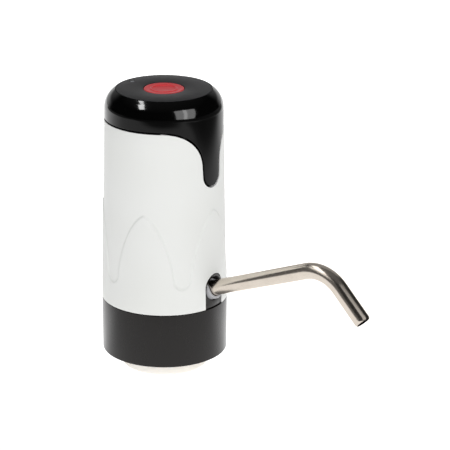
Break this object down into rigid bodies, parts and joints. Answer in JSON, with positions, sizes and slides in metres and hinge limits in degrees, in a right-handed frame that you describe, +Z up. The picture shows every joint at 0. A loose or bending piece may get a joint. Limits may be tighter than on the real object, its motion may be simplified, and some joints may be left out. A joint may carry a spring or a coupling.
{
  "type": "bottled water pump",
  "caption": "Rechargeable pump that plugs into a large water bottle's neck: white tapered body, glossy black cap with a drip tongue, red push button, bent steel spout.",
  "frame": {"origin": "centre of the flat ceiling inside the neck socket, on the body's upright axis; the skirt and the plug reach below it", "axes": "+X towards the spout, +Z up towards the button, +Y to the left of someone who looks along +X"},
  "size_m": [0.1595, 0.0656, 0.1496],
  "materials": {
    "white_shell": "satin white plastic with a fine tight grain",
    "black_matt": "matt black plastic",
    "black_gloss": "high-gloss black plastic",
    "disc_matt": "matt dark grey plastic",
    "button_red": "silky red plastic",
    "silicone_white": "soft white silicone",
    "collar_grey": "light grey satin plastic",
    "spout_steel": "polished stainless steel",
    "clear_lens": "clear light guide",
    "seal_black": "black rubber",
    "motor_steel": "zinc-plated steel",
    "magnet_grey": "sintered magnet",
    "screw_steel": "plain steel",
    "copper": "enamelled copper",
    "nickel": "nickel-plated strip",
    "board_green": "green solder mask",
    "pump_plastic": "natural white plastic",
    "inner_plastic": "plain black plastic",
    "cell_wrap": "plain blue film over a steel can",
    "hose_clear": "clear silicone hose",
    "wire_red": "red insulation",
    "wire_black": "black insulation"
  },
  "bodies": {
    "body": {"base_ring": "black_matt", "battery_cell": "cell_wrap", "battery_cradle": "inner_plastic", "battery_tab_bottom": "nickel", "battery_tab_top": "nickel", "battery_wire_black": "wire_black", "battery_wire_red": "wire_red", "board_screw_1": "screw_steel", "board_screw_2": "screw_steel", "board_screw_3": "screw_steel", "body_shell": "white_shell", "check_valve": "seal_black", "circuit_board": "board_green", "frame_screw_1": "screw_steel", "frame_screw_2": "screw_steel", "frame_screw_3": "screw_steel", "indicator_led": "clear_lens", "indicator_lens": "clear_lens", "inlet_nipple": "pump_plastic", "mid_frame": "inner_plastic", "motor_can": "motor_steel", "motor_end_cap": "pump_plastic", "motor_magnet_left": "magnet_grey", "motor_magnet_right": "magnet_grey", "motor_terminal_left": "nickel", "motor_terminal_right": "nickel", "motor_wire_black": "wire_black", "motor_wire_red": "wire_red", "neck_plug": "silicone_white", "outlet_hose": "hose_clear", "pump_body": "pump_plastic", "pump_damper": "seal_black", "pump_diaphragm": "seal_black", "pump_head": "pump_plastic", "pump_screw_1": "screw_steel", "pump_screw_2": "screw_steel", "pump_screw_3": "screw_steel", "socket_screw_1": "screw_steel", "socket_screw_2": "screw_steel", "spout_seal": "seal_black", "spout_socket": "black_matt", "switch_body": "inner_plastic", "top_cap": "black_gloss", "top_plate": "disc_matt", "usb_port": "nickel", "valve_plate": "pump_plastic"},
    "button": {"power_button": "button_red", "switch_plunger": "inner_plastic"},
    "spout_slider": {"spout_collar": "collar_grey"},
    "spout": {"spout_tube": "spout_steel"},
    "pump_rotor": {"motor_shaft": "screw_steel", "motor_rotor": "copper", "commutator": "copper", "eccentric_cam": "pump_plastic"},
    "wobble": {"wobble_plate": "pump_plastic"}
  },
  "joints": [
    {"name": "button_press", "type": "slide", "parent": "body", "child": "button", "axis": [0, 0, -1], "range_m": [0, 0.0006], "stiffness_N_per_m": 900, "springref_m": -0.0004},
    {"name": "spout_pull", "type": "slide", "parent": "body", "child": "spout_slider", "axis": [0.933, 0, 0.36], "range_m": [0, 0.016]},
    {"name": "spout_swivel", "type": "hinge", "parent": "spout_slider", "child": "spout", "pos_m": [0.03263, 0, 0.0174], "axis": [0.933, 0, 0.36], "continuous": true},
    {"name": "pump_spin", "type": "hinge", "parent": "body", "child": "pump_rotor", "pos_m": [-0.01495, 0, 0.03], "axis": [0, 0, 1], "continuous": true},
    {"name": "wobble", "type": "hinge", "parent": "pump_rotor", "child": "wobble", "pos_m": [-0.01495, 0, 0.02033], "axis": [0.1045, 0, 0.9945], "continuous": true}
  ],
  "couplings": [
    {"joint": "wobble", "follows": "pump_spin", "ratio": -1}
  ]
}
